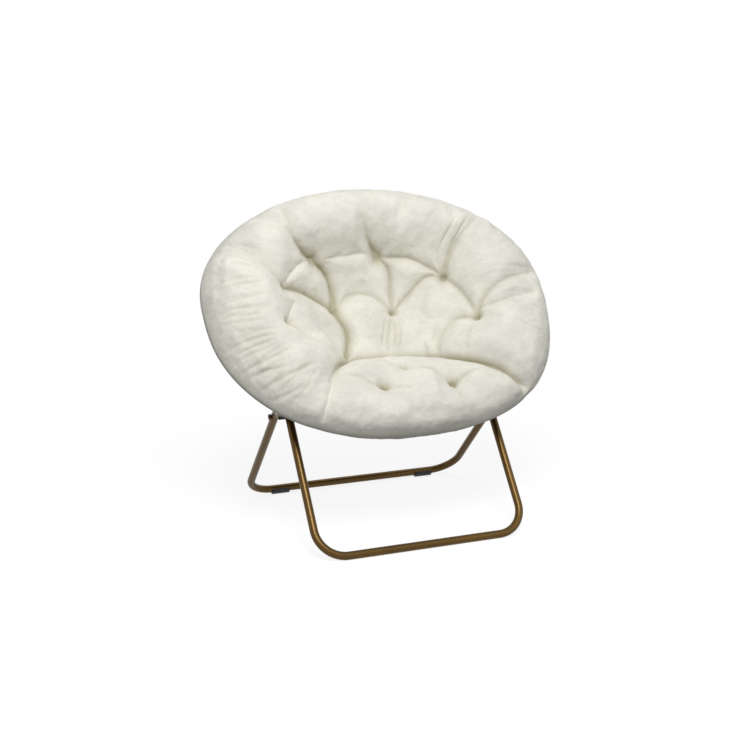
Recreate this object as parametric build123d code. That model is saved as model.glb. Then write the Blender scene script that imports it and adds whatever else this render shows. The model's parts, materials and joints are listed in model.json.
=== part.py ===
from build123d import *
import os
from math import sin, cos, tan, atan2, radians, degrees, pi, sqrt, hypot

# Folding saucer chair. X runs across the chair, the seat faces -Y, +Z is up.
# Origin: on the floor, under the middle of the chair's overall box.
os.makedirs("parts", exist_ok=True)

# ---- tube frame, mm ----
tube_d = 21.0                # leg and ring tube, outside
tube_wall = 1.2
cross_height = 313.7         # leg pivots above the floor
front_reach = 245.7          # front bar ahead of the leg pivots
rear_reach = 301.5           # rear bar behind the leg pivots
front_leg_half = 282.5       # centre plane to front leg tube
leg_gap = 16.5               # between the two tubes where they cross
corner_radius = 75.0         # floor corners of both U-frames
front_bend_up = 40.0         # along the leg from the pivot to its upper bend
rear_bend_up = 25.0
front_bend_radius = 120.0
rear_bend_radius = 55.0
leg_end = 12.0               # front leg tube beyond its top bolt
rear_leg_end = 8.0           # rear leg tube beyond its hook pin

# ---- seat ring, in its own plane ----
ring_tilt = 50.6             # degrees from the floor
ring_behind = 71.2           # middle of the widest line, behind the leg pivots
ring_z = 600.1
ring_half = 450.0            # centre plane to tube centre at the widest line
ring_back = 301.0            # widest line to rear of the ring
ring_front = 380.0           # widest line to front of the ring
ring_back_flat = 86.0        # rear reach less the bend radius at the sides
ring_front_flat = 10.0       # front reach less the bend radius at the sides
ring_drop = 20.0             # tube centre below the cushion edge plane
hinge_v = -205.0             # ring hinge line ahead of the widest line

# ---- ring hinge ----
sleeve_wall = 2.4
sleeve_length = 26.0
sleeve_start = 24.0          # hinge axis to end of sleeve
sleeve_end_wall = 3.0
lug_r = 10.0
lug_thickness = 6.3
hinge_pin_r = 4.0
pin_head_r = 7.0
pin_head = 2.0

# ---- leg brackets, hooks and fasteners ----
back_bracket_v = 240.0       # front leg brackets, behind the widest line
back_bracket_drop = 28.0     # ring tube centre to leg tube centre
bracket_length = 62.0
bracket_thickness = 3.0
bracket_depth = 30.0
bolt_spacing = 32.0
bolt_r = 3.0
bolt_head_r = 5.2
bolt_head = 4.0
nut_r = 5.5
nut_height = 5.0
hook_v = -290.0              # rear leg hooks
hook_drop = 31.0
hook_pin_r = 4.0
hook_rim = 9.0               # steel around the pin
cross_bolt_r = 4.0
cross_head_r = 8.0
cross_head = 4.5
spacer_r = 9.5
plug_flange = 2.0
plug_spigot = 6.0
pad_length = 50.0
pad_thickness = 4.0          # under the bar
pad_flat = 1.0               # cut off the pad's round underside
pad_from_side = 97.5         # middle of a pad to the rear leg's side tube

# ---- cushion, heights from its edge plane ----
cushion_half = 482.5
cushion_back = 333.5
cushion_front = 412.5
back_round = 2.03            # fullness of the outline, 2 is an ellipse
front_round = 2.35
edge_level = -4.0
bolster_top = 50.0
pan_top = -85.0
bolster_under = -38.0
pan_under = -152.0
seat_bolster_top = 22.0      # the front roll is lower than the side rolls
seat_roll_start = -150.0     # along the ring, where the low front roll begins
seat_roll_full = -300.0
seat_roll_in = 230.0         # half width of the low front roll
seat_roll_out = 330.0
pan_inner, bolster_crest = 0.22, 0.74
under_inner, under_outer = 0.20, 0.62
crease_slope = 0.49          # roll rises away from the hinge line
crease_start = 4.5           # below the hinge axis at the split
cushion_split = 0.8          # gap between the seat and back parts
tuft_depth = 26.0
tuft_r = 22.0
fold_r = 16.0                # folds between tufts: round grooves
fold_lift = 4.0              # centre of a fold's round above the cover
fold_stop = 8.0              # end of a fold's round to the middle of its tuft
knot_r = 2.4
knot_height = 2.0
sleeve_cloth = 1.4

# ---- clearances ----
running_fit = 0.05
loose_fit = 0.3
lug_gap = 0.2
hook_side_gap = 2.0
hook_pin_gap = 0.3

tube_r = tube_d / 2
rear_leg_half = front_leg_half + tube_d + leg_gap
pad_r = tube_r + pad_thickness + pad_flat
pad_x = rear_leg_half - pad_from_side
ring_back_side_r = ring_back - ring_back_flat
ring_front_side_r = ring_front - ring_front_flat
pivot_y = (front_reach + tube_r - rear_reach - pad_r) / 2
ring_y = pivot_y + ring_behind


# ---- helpers ----
def swap(point):
    return (-point[0],) + tuple(point[1:])


def mirrored(solid):
    return mirror(solid, about=Plane.YZ)


def rod_x(radius, x0, x1, y=0.0, z=0.0):
    base = Plane(origin=(min(x0, x1), y, z), z_dir=(1, 0, 0))
    return extrude(base * Circle(radius), abs(x1 - x0))


def bent_tube(path, radius=tube_r, wall=tube_wall):
    start = Plane(origin=path @ 0, z_dir=path % 0)
    outer = sweep(start * Circle(radius), path=path)
    return outer - sweep(start * Circle(radius - wall), path=path)


def save(solid, name):
    export_step(Compound(label=name, children=list(solid.solids())), "parts/" + name + ".step")


def smooth(a, b, value):
    t = min(1.0, max(0.0, (value - a) / (b - a)))
    return t * t * (3 - 2 * t)


# ---- side view points ----
tilt = radians(ring_tilt)


def in_ring(v, w):
    """Side view point at v along the ring plane and w above it."""
    return (ring_y + v * cos(tilt) - w * sin(tilt), ring_z + v * sin(tilt) + w * cos(tilt))


ring_frame = Location(Plane(origin=(0, ring_y, ring_z), x_dir=(1, 0, 0),
                            z_dir=(0, -sin(tilt), cos(tilt))))
pivot = (pivot_y, cross_height)
front_foot = (pivot_y - front_reach, tube_r)
rear_foot = (pivot_y + rear_reach, tube_r + pad_thickness)
back_joint = in_ring(back_bracket_v, -ring_drop - back_bracket_drop)
hook_joint = in_ring(hook_v, -ring_drop - hook_drop)
hinge_axis = in_ring(hinge_v, -ring_drop)


def along(start, end, distance):
    length = hypot(end[0] - start[0], end[1] - start[1])
    return (start[0] + (end[0] - start[0]) * distance / length,
            start[1] + (end[1] - start[1]) * distance / length)


# ---- U-shaped legs ----
def leg_path(foot, bend_up, bend_radius, joint, beyond, half):
    rise = hypot(foot[0] - pivot[0], foot[1] - pivot[1])
    bend = along(foot, pivot, rise + bend_up)
    top = along(bend, joint, hypot(joint[0] - bend[0], joint[1] - bend[1]) + beyond)
    side = [(half,) + top, (half,) + bend, (half,) + foot]
    radii = [bend_radius, corner_radius, corner_radius, bend_radius]
    return FilletPolyline(*side, *[swap(p) for p in reversed(side)], radius=radii), bend, top


front_path, front_bend, front_top = leg_path(front_foot, front_bend_up, front_bend_radius,
                                             back_joint, leg_end + bolt_spacing / 2, front_leg_half)
rear_path, rear_bend, rear_top = leg_path(rear_foot, rear_bend_up, rear_bend_radius,
                                          hook_joint, rear_leg_end, rear_leg_half)

front_leg = bent_tube(front_path)
rear_leg = bent_tube(rear_path)


# ---- oval ring of tangent arcs ----
def oval_quarter(half, reach, side_r, sign):
    """Side arc and end arc of one quarter: centres, radii and their shared point."""
    end_r = ((half - side_r) ** 2 + reach ** 2 - side_r ** 2) / (2 * (reach - side_r))
    side_c = (half - side_r, 0.0)
    end_c = (0.0, sign * (reach - end_r))
    reach_c = hypot(side_c[0] - end_c[0], side_c[1] - end_c[1])
    unit = ((side_c[0] - end_c[0]) / reach_c, (side_c[1] - end_c[1]) / reach_c)
    return side_c, end_c, end_r, (side_c[0] + unit[0] * side_r, side_c[1] + unit[1] * side_r)


def arc_through(centre, radius, start, end):
    a0 = atan2(start[1] - centre[1], start[0] - centre[0])
    a1 = atan2(end[1] - centre[1], end[0] - centre[0])
    turn = (a1 - a0 + pi) % (2 * pi) - pi
    middle = (centre[0] + radius * cos(a0 + turn / 2), centre[1] + radius * sin(a0 + turn / 2))
    return ThreePointArc(start, middle, end)


b_side_c, b_end_c, b_end_r, b_meet = oval_quarter(ring_half, ring_back, ring_back_side_r, 1)
f_side_c, f_end_c, f_end_r, f_meet = oval_quarter(ring_half, ring_front, ring_front_side_r, -1)


def ring_x(v):
    """Half width of the ring's centreline at v."""
    if v >= 0:
        side = v <= b_meet[1]
        c, r = (b_side_c, ring_back_side_r) if side else (b_end_c, b_end_r)
    else:
        side = v >= f_meet[1]
        c, r = (f_side_c, ring_front_side_r) if side else (f_end_c, f_end_r)
    return c[0] + sqrt(r ** 2 - (v - c[1]) ** 2)


hinge_x = ring_x(hinge_v)
hinge_angle = atan2(hinge_v, hinge_x - f_side_c[0])


def off_hinge(distance):
    """Ring point at an arc length from the hinge line, positive towards the back."""
    a = hinge_angle + distance / ring_front_side_r
    return (f_side_c[0] + ring_front_side_r * cos(a), ring_front_side_r * sin(a))


def side_arc(d0, d1):
    return arc_through(f_side_c, ring_front_side_r, off_hinge(d0), off_hinge(d1))


def on_ring(solid):
    return ring_frame * (Pos(0, 0, -ring_drop) * solid)


tube_start = sleeve_start + sleeve_end_wall
widest = (ring_half, 0.0)
back_half = [arc_through(f_side_c, ring_front_side_r, off_hinge(tube_start), widest),
             arc_through(b_side_c, ring_back_side_r, widest, b_meet)]
rear_end = arc_through(b_end_c, b_end_r, b_meet, swap(b_meet))
front_side = arc_through(f_side_c, ring_front_side_r, off_hinge(-tube_start), f_meet)
front_end = arc_through(f_end_c, f_end_r, f_meet, swap(f_meet))


def closed_half(right, middle):
    left = [mirrored(edge) for edge in reversed(right)]
    return Wire([e for part in right + [middle] + left for e in part.edges()])


back_wire = closed_half(back_half, rear_end)
front_wire = closed_half([front_side], front_end)
back_ring = on_ring(bent_tube(back_wire))
front_ring = on_ring(bent_tube(front_wire))
ring_core = {"back": on_ring(sweep(Plane(origin=back_wire @ 0, z_dir=back_wire % 0)
                                   * Circle(tube_r), path=back_wire)),
             "front": on_ring(sweep(Plane(origin=front_wire @ 0, z_dir=front_wire % 0)
                                    * Circle(tube_r), path=front_wire))}


# ---- ring hinges: a sleeve on each tube end with a lug, lapped and riveted ----
def knuckle(sign):
    reach = sleeve_start + sleeve_length
    path = Wire(side_arc(sign * sleeve_start, sign * reach).edges())
    start = Plane(origin=path @ 0, z_dir=path % 0)
    sleeve = sweep(start * Circle(tube_r + sleeve_wall), path=path)
    inner = Wire(side_arc(sign * tube_start, sign * (reach + 5)).edges())
    bore = sweep(Plane(origin=inner @ 0, z_dir=inner % 0) * Circle(tube_r + running_fit), path=inner)
    x0 = hinge_x + lug_gap if sign > 0 else hinge_x - lug_gap - lug_thickness
    lug = Pos(x0 + lug_thickness / 2, hinge_v, 0) * (
        Rot(0, 90, 0) * Cylinder(lug_r, lug_thickness)
        + Pos(0, sign * (sleeve_start + 8) / 2, 0) * Box(lug_thickness, sleeve_start + 8, 2 * lug_r))
    hole = Pos(hinge_x, hinge_v, 0) * Rot(0, 90, 0) * Cylinder(hinge_pin_r + running_fit, 40)
    return on_ring(sleeve + lug - bore - hole)


stack = lug_gap + lug_thickness
pin_shape = Pos(hinge_x, hinge_v, 0) * Rot(0, 90, 0) * (
    Cylinder(hinge_pin_r, 2 * stack)
    + Pos(0, 0, stack + pin_head / 2) * Cylinder(pin_head_r, pin_head)
    + Pos(0, 0, -stack - pin_head / 2) * Cylinder(pin_head_r, pin_head))
hinge_pin = on_ring(pin_shape)
back_knuckle = knuckle(1)
front_knuckle = knuckle(-1)

# ---- brackets that bolt the front leg to the back of the ring ----
leg_turn = degrees(atan2(back_joint[1] - front_bend[1], back_joint[0] - front_bend[0]))


def leg_local(solid):
    """Local Y runs up the leg and local Z faces the ring."""
    return Pos(front_leg_half, *back_joint) * Rot(leg_turn, 0, 0) * solid


flange_x = tube_r + bracket_thickness / 2
saddle_top = back_bracket_drop - tube_r + 2.5
flange = Box(bracket_thickness, bracket_length, bracket_depth)
web_low = tube_r + 1.5
flanges = [Pos(s * flange_x, 0, web_low + bracket_thickness - bracket_depth / 2) * flange for s in (1, -1)]
web = Pos(0, 0, web_low + bracket_thickness / 2) * Box(2 * tube_r + 0.2, bracket_length, bracket_thickness)
saddle = Pos(0, 0, (web_low + saddle_top) / 2) * Box(2 * tube_r, 26, saddle_top - web_low)
bolt_hole = [Pos(0, s * bolt_spacing / 2, 0) * Rot(0, 90, 0) * Cylinder(bolt_r + running_fit, 4 * flange_x)
             for s in (1, -1)]
back_bracket = leg_local(flanges[0] + flanges[1] + web + saddle - bolt_hole[0] - bolt_hole[1])
back_bracket = back_bracket - ring_core["back"]
grip = tube_r + bracket_thickness
bolts = [Pos(0, s * bolt_spacing / 2, 0) * Rot(0, 90, 0) * (
    Cylinder(bolt_r, 2 * grip + nut_height + bolt_head)
    + Pos(0, 0, -grip - bolt_head / 2 - (nut_height + bolt_head) / 2
          + (nut_height + bolt_head) / 2) * Cylinder(bolt_head_r, bolt_head))
    for s in (1, -1)]
nuts = [Pos(0, s * bolt_spacing / 2, 0) * Rot(0, 90, 0) * (Pos(0, 0, grip) * extrude(
    RegularPolygon(nut_r, 6) - Circle(bolt_r + running_fit), nut_height)) for s in (1, -1)]
bracket_bolts = leg_local(bolts[0]) + leg_local(bolts[1])
bracket_nuts = leg_local(nuts[0]) + leg_local(nuts[1])
for hole in bolt_hole:
    cut = leg_local(hole)
    front_leg = front_leg - cut - mirrored(cut)

# ---- open hooks on the front of the ring that sit on the rear leg pins ----
hook_y, hook_z = hook_joint
hook_inner = rear_leg_half - tube_r - hook_side_gap
hook_outer = rear_leg_half + tube_r + hook_side_gap
ring_above = in_ring(hook_v, -ring_drop)
lean = degrees(atan2(ring_above[1] - hook_z, ring_above[0] - hook_y))


def hook_plate(x0):
    disc = rod_x(hook_pin_r + hook_rim, x0, x0 + bracket_thickness, hook_y, hook_z)
    arm_box = Box(bracket_thickness, hook_drop, 2 * (hook_pin_r + hook_rim) - 4)
    arm = Pos(x0 + bracket_thickness / 2, hook_y, hook_z) * Rot(lean, 0, 0) * (
        Pos(0, hook_drop / 2, 0) * arm_box)
    slot_r = hook_pin_r + hook_pin_gap
    mouth = extrude(Plane(origin=(x0 - 1, hook_y, hook_z), x_dir=(0, 1, 0), z_dir=(1, 0, 0)) * (
        Circle(slot_r) + make_face(Polyline((0, slot_r), (0, -slot_r), (30, -slot_r - 4),
                                            (30, slot_r + 15), (0, slot_r)))),
        bracket_thickness + 2)
    return disc + arm - mouth


bridge_mid = ((hook_inner + hook_outer) / 2, hook_y + 0.66 * (ring_above[0] - hook_y),
              hook_z + 0.66 * (ring_above[1] - hook_z))
bridge = Pos(*bridge_mid) * Rot(lean, 0, 0) * Box(
    hook_outer - hook_inner + 0.2, 5.0, 2 * (hook_pin_r + hook_rim) - 4)
hook = hook_plate(hook_inner - bracket_thickness) + hook_plate(hook_outer) + bridge
hook = hook - ring_core["front"]
hook_pin = rod_x(hook_pin_r, hook_inner - bracket_thickness - 1.5, hook_outer + bracket_thickness + 1.5,
                 hook_y, hook_z)
cut = rod_x(hook_pin_r + running_fit, rear_leg_half - 30, rear_leg_half + 30, hook_y, hook_z)
rear_leg = rear_leg - cut - mirrored(cut)

# ---- leg crossing: bolt, black spacer and nut on each side ----
cross_in = front_leg_half - tube_r
cross_out = rear_leg_half + tube_r
cross_bolt = (rod_x(cross_bolt_r, cross_in, cross_out + nut_height + 1.5, *pivot)
              + rod_x(cross_head_r, cross_in - cross_head, cross_in, *pivot))
cross_nut = rod_x(cross_head_r, cross_out + loose_fit, cross_out + loose_fit + nut_height, *pivot)
cross_nut = cross_nut - rod_x(cross_bolt_r + running_fit, cross_in, cross_out + 20, *pivot)
spacer_x = front_leg_half + tube_r
spacer = rod_x(spacer_r, spacer_x, spacer_x + leg_gap - loose_fit, *pivot)
spacer = spacer - rod_x(cross_bolt_r + running_fit, cross_in, cross_out, *pivot)
cut = rod_x(cross_bolt_r + running_fit, cross_in - 5, cross_out + 5, *pivot)
front_leg = front_leg - cut - mirrored(cut)
rear_leg = rear_leg - cut - mirrored(cut)

# ---- plugs in the open tube ends ----
def plug(path, depth):
    end = Plane(origin=path @ 0, z_dir=path % 0)
    cap = extrude(end * Circle(tube_r), -plug_flange)
    return cap + extrude(end * Circle(tube_r - tube_wall - running_fit), depth)


front_plug = plug(front_path, min(plug_spigot, leg_end - bolt_r - loose_fit))
rear_plug = plug(rear_path, min(plug_spigot, rear_leg_end - hook_pin_r - loose_fit))

# ---- floor pads clipped under the rear bar ----
pad = rod_x(pad_r, pad_x - pad_length / 2, pad_x + pad_length / 2, *rear_foot)
pad = pad - rod_x(tube_r + running_fit, pad_x - pad_length, pad_x + pad_length, *rear_foot)
pad = pad - Pos(pad_x, rear_foot[0], rear_foot[1] + 2 + pad_r) * Box(2 * pad_length, 4 * pad_r, 2 * pad_r)
pad = pad - Pos(pad_x, rear_foot[0], -pad_r) * Box(2 * pad_length, 4 * pad_r, 2 * pad_r)


# ---- cushion ----
def outline_x(v):
    reach, power = (cushion_back, back_round) if v >= 0 else (cushion_front, front_round)
    return cushion_half * (1 - (abs(v) / reach) ** power) ** (1 / power)


def radial(x, v):
    reach, power = (cushion_back, back_round) if v >= 0 else (cushion_front, front_round)
    return ((abs(x) / cushion_half) ** power + (abs(v) / reach) ** power) ** (1 / power)


def edge_roll(rho):
    return sqrt(max(0.0, 1 - min(1.0, rho) ** 6))


def crease_level(v):
    return -ring_drop - crease_start + crease_slope * abs(v - hinge_v)


def rim_level(v):
    return min(edge_level, crease_level(v))


def top_level(x, v):
    rho = radial(x, v)
    seat = smooth(seat_roll_start, seat_roll_full, v) * (1 - smooth(seat_roll_in, seat_roll_out, abs(x)))
    crest = bolster_top + (seat_bolster_top - bolster_top) * seat
    level = pan_top + (crest - pan_top) * smooth(pan_inner, bolster_crest + 0.16 * seat, rho)
    level = min(level, crease_level(v))
    return rim_level(v) + (level - rim_level(v)) * edge_roll(rho)


def under_level(x, v):
    rho = radial(x, v)
    level = bolster_under + (pan_under - bolster_under) * smooth(under_outer, under_inner, rho)
    return rim_level(v) + (level - rim_level(v)) * edge_roll(rho)


section_half = 18


def section(v):
    """Closed profile of the cushion across the chair, in lines and arcs."""
    points = []
    for k in range(2 * section_half):
        a = pi * k / section_half
        x = outline_x(v) * cos(a)
        level = rim_level(v) if k in (0, section_half) else (
            top_level(x, v) if a < pi else under_level(x, v))
        points.append((x, level))
    points.append(points[0])
    edges = []
    for k in range(0, 2 * section_half, 2):
        p, q, r = points[k], points[k + 1], points[k + 2]
        bulge = (q[0] - p[0]) * (r[1] - p[1]) - (q[1] - p[1]) * (r[0] - p[0])
        edges.append(ThreePointArc(p, q, r) if abs(bulge) > 2.0 else Line(p, r))
    profile = Face(Wire([e for part in edges for e in part.edges()]))
    return Plane(origin=(0, v, 0), x_dir=(1, 0, 0), z_dir=(0, -1, 0)) * profile


def stations(start, end, shares):
    return [start + (end - start) * s for s in shares]


back_start = hinge_v + cushion_split / 2
seat_start = hinge_v - cushion_split / 2
back_vs = stations(back_start, 0, (0, 0.09, 0.22, 0.42, 0.68, 1)) + stations(
    0, cushion_back, (0.22, 0.44, 0.63, 0.78, 0.89, 0.955, 0.985))
seat_vs = stations(seat_start, -cushion_front, (0, 0.12, 0.28, 0.48, 0.66, 0.82, 0.92, 0.975))


def lofted(vs):
    return loft([section(v) for v in vs])


back_cushion = lofted(back_vs)
seat_cushion = lofted(seat_vs)

# Tufts and the folds between them, as (x, v) on the cover.
back_tufts = [(-157, 130), (44, 145), (200, 62), (246, -86), (-272, 33), (-273, -67), (-107, 15), (56, -13)]
seat_tufts = [(-60, -278), (127, -282), (20, -246)]
back_folds = [((-157, 130), (-55, 143), (44, 145)), ((44, 145), (130, 118), (200, 62)),
              ((200, 62), (234, -10), (246, -86)), ((-157, 130), (-118, 80), (-107, 15)),
              ((-107, 15), (-30, 44), (56, -13)), ((44, 145), (64, 70), (56, -13)),
              ((56, -13), (128, 45), (200, 62)), ((-272, 33), (-262, -17), (-273, -67)),
              ((-272, 33), (-225, 98), (-157, 130)), ((-107, 15), (-88, -70), (-120, -150)),
              ((246, -86), (190, -105), (120, -168)), ((-140, -182), (0, -158), (140, -186))]
seat_folds = [((-246, -335), (-214, -280), (-186, -232)), ((238, -256), (281, -290), (312, -318))]


def dimple(x, v):
    tip = top_level(x, v) - tuft_depth
    return Pos(x, v, tip + tuft_depth) * Cone(knot_r + 0.4, tuft_r * 1.6, 2 * tuft_depth)


def fold(ends):
    start, middle, end = ends
    points = (along(start, middle, fold_stop), middle, along(end, middle, fold_stop))
    path = ThreePointArc(*[(x, v, top_level(x, v) + fold_lift) for x, v in points])
    return sweep(Plane(origin=path @ 0, z_dir=path % 0) * Circle(fold_r), path=path)


def knot(x, v):
    return Pos(x, v, top_level(x, v) - tuft_depth + knot_height / 2) * Cylinder(knot_r, knot_height)


def ring_groove(sign):
    wires = {1: back_wire, -1: front_wire}
    path = wires[sign]
    start = Plane(origin=path @ 0, z_dir=path % 0)
    groove = sweep(start * Circle(tube_r + sleeve_cloth + 2 * loose_fit), path=path)
    return Pos(0, 0, -ring_drop) * groove


def knuckle_room(d0, d1):
    path = Wire(side_arc(d0, d1).edges())
    start = Plane(origin=path @ 0, z_dir=path % 0)
    right = sweep(start * Circle(tube_r + sleeve_wall + 1.0), path=path)
    reach = stack + pin_head + 1.0
    right = right + Pos(hinge_x, hinge_v, 0) * Rot(0, 90, 0) * Cylinder(lug_r + 2, 2 * reach)
    right = right + Pos(hinge_x, hinge_v, 0) * Box(2 * reach, 2 * (sleeve_start + 10), 2 * lug_r + 2)
    right = Pos(0, 0, -ring_drop) * right
    return right + mirrored(right)


room_end = sleeve_start + sleeve_length + 3
hook_room = Pos(rear_leg_half, hook_v, -ring_drop - 30) * Box(
    2 * (tube_r + hook_side_gap + bracket_thickness + 1), 2 * (hook_pin_r + hook_rim + 2), 60)
for x, v in back_tufts:
    back_cushion = back_cushion - dimple(x, v)
for x, v in seat_tufts:
    seat_cushion = seat_cushion - dimple(x, v)
for ends in back_folds:
    back_cushion = back_cushion - fold(ends)
for ends in seat_folds:
    seat_cushion = seat_cushion - fold(ends)
back_cushion = back_cushion - ring_groove(1) - knuckle_room(1, room_end)
seat_cushion = seat_cushion - ring_groove(-1) - knuckle_room(-1, -room_end)
seat_cushion = seat_cushion - hook_room - mirrored(hook_room)
back_cushion = ring_frame * back_cushion
seat_cushion = ring_frame * seat_cushion
knots = {"back": [ring_frame * knot(x, v) for x, v in back_tufts],
         "seat": [ring_frame * knot(x, v) for x, v in seat_tufts]}


# ---- cloth tunnels that hold the ring, left open at the brackets ----
def tunnel(path):
    start = Plane(origin=path @ 0, z_dir=path % 0)
    r = tube_r + loose_fit
    shell = sweep(start * Circle(r + sleeve_cloth), path=path) - sweep(start * Circle(r), path=path)
    return on_ring(shell)


def arc_point(centre, radius, v):
    return (centre[0] + sqrt(radius ** 2 - (v - centre[1]) ** 2), v)


bracket_v0, bracket_v1 = back_bracket_v - 24, back_bracket_v + 14
b0, b1 = (ring_x(bracket_v0), bracket_v0), (ring_x(bracket_v1), bracket_v1)
sleeve_out = sleeve_start + sleeve_length + 2
side_tunnel = tunnel(Wire([e for part in (
    arc_through(f_side_c, ring_front_side_r, off_hinge(sleeve_out), widest),
    arc_through(b_side_c, ring_back_side_r, widest, b_meet),
    arc_through(b_end_c, b_end_r, b_meet, b0)) for e in part.edges()]))
rear_tunnel = tunnel(Wire(arc_through(b_end_c, b_end_r, b1, swap(b1)).edges()))
hook_gap = hook_pin_r + hook_rim + 6
h0 = (ring_x(hook_v + hook_gap), hook_v + hook_gap)
h1 = (ring_x(hook_v - hook_gap), hook_v - hook_gap)
front_side_tunnel = tunnel(Wire(arc_through(f_side_c, ring_front_side_r, off_hinge(-sleeve_out), h0).edges()))
front_mid_tunnel = tunnel(Wire(arc_through(f_end_c, f_end_r, h1, swap(h1)).edges())) \
    if h1[1] <= f_meet[1] else tunnel(Wire([e for part in (
        arc_through(f_side_c, ring_front_side_r, h1, f_meet),
        arc_through(f_end_c, f_end_r, f_meet, swap(f_meet)),
        mirrored(arc_through(f_side_c, ring_front_side_r, h1, f_meet))) for e in part.edges()]))

# ---- write one file per piece ----
save(front_leg, "front_leg")
save(rear_leg, "rear_leg")
save(back_ring, "back_ring")
save(front_ring, "front_ring")
save(back_cushion, "back_cushion")
save(seat_cushion, "seat_cushion")
save(Compound(children=[side_tunnel, mirrored(side_tunnel), rear_tunnel]), "back_tunnel")
save(Compound(children=[front_side_tunnel, mirrored(front_side_tunnel), front_mid_tunnel]), "seat_tunnel")
save(Compound(children=knots["back"]), "back_tuft_knots")
save(Compound(children=knots["seat"]), "seat_tuft_knots")
for solid, name in ((back_knuckle, "back_knuckle"), (front_knuckle, "front_knuckle"),
                    (hinge_pin, "hinge_pin"), (back_bracket, "back_bracket"),
                    (bracket_bolts, "bracket_bolts"), (bracket_nuts, "bracket_nuts"),
                    (hook, "hook"), (hook_pin, "hook_pin"), (cross_bolt, "cross_bolt"),
                    (cross_nut, "cross_nut"), (spacer, "cross_spacer"), (front_plug, "front_leg_plug"),
                    (rear_plug, "rear_leg_plug"), (pad, "floor_pad")):
    save(solid, name + "_right")
    save(mirrored(solid), name + "_left")
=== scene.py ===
import json
import math

import bpy
import numpy as np
from bpy.props import FloatProperty, FloatVectorProperty, IntProperty, PointerProperty
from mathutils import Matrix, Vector, noise


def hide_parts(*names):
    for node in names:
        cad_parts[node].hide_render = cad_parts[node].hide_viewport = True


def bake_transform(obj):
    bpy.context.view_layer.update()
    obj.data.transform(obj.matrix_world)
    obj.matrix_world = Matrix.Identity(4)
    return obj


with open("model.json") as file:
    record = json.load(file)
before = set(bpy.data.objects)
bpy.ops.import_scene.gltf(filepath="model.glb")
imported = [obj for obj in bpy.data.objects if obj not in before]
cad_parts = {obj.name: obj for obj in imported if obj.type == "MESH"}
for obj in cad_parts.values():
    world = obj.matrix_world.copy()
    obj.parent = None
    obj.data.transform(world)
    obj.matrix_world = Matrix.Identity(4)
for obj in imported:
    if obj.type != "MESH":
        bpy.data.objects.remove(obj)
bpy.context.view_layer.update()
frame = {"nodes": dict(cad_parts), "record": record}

bl_info = {
    "name": "Folding saucer chair",
    "version": (1, 0, 0),
    "blender": (4, 5, 0),
    "location": "View3D > Sidebar > Saucer chair",
    "description": "Dresses the folding saucer chair: tufted cushion, painted tube, plastic and stage",
    "category": "Object",
}

MM = 0.001

# The seat ring's plane: its middle, its tilt from the floor, the way up its slope and the way out of it.
RING_MIDDLE = Vector((0.0, 0.0408, 0.6001))
RING_TILT = math.radians(50.6)
ALONG = np.array((0.0, math.cos(RING_TILT), math.sin(RING_TILT)))
ABOVE = np.array((0.0, -math.sin(RING_TILT), math.cos(RING_TILT)))

# Lines in the ring's plane, in mm up its slope from the widest line.
LEAN_STARTS, LEAN_FULL = -100.0, -380.0
SEAT_FULL, SEAT_ENDS = -300.0, -150.0
BACK_STARTS, BACK_FULL = 0.0, 150.0

# Distances from the middle plane, mm: where the seat's low roll and the fuller padding under it end.
SEAT_SIDE, SEAT_OUT = 230.0, 330.0
FRONT_SIDE, FRONT_OUT = 90.0, 310.0

# The ring's tube, mm: half its width, and for its back and its front half the reach and the side's radius.
RING_HALF_WIDTH = 450.0
RING_HALVES = ((1, 301.0, 215.0), (-1, 380.0, 370.0))
RING_LEVEL = -20.0
TUNNEL_RADIUS = 14.5
RING_CLEARANCE = 15.0

# Heights of the cushion over the ring's plane, mm.
EDGE_LEVEL = -16.0
BOWL_LEVEL = -85.0
SIDE_CREST, SEAT_CREST = 54.0, 34.0
LINING_LEVEL = -38.0
BELLY_DROP = 114.0
FRONT_DROP = 30.0
LEAST_FILLING = 7.0
DRAWN_SHARE = 0.9  # the most of its thickness that a fold draws in

# Shares of the way from the middle to the rim.
WALL_FOOT, WALL_HEAD = 0.22, 0.74
SEAT_HEAD_OUT, BACK_HEAD_OUT = 0.10, 0.08
BELLY_FOOT, BELLY_HEAD = 0.62, 0.20
FRONT_FOOT, FRONT_HEAD = 0.72, 0.86
ROUND_ROLL, OVER_LINING_TO = 0.84, 0.85
TUFTED_TO, UNEVEN_TO, WRINKLED_TO, RIM = 0.93, 0.95, 0.965, 1.0
SEAM = 0.93

# Powers: of the rim's oval, where 2 is an ellipse and more is squarer, and of the slopes to the rim.
BACK_OVAL, FRONT_OVAL = 2.03, 2.38
TOP_SLOPE, UNDER_SLOPE = 5.0, 6.0

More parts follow.
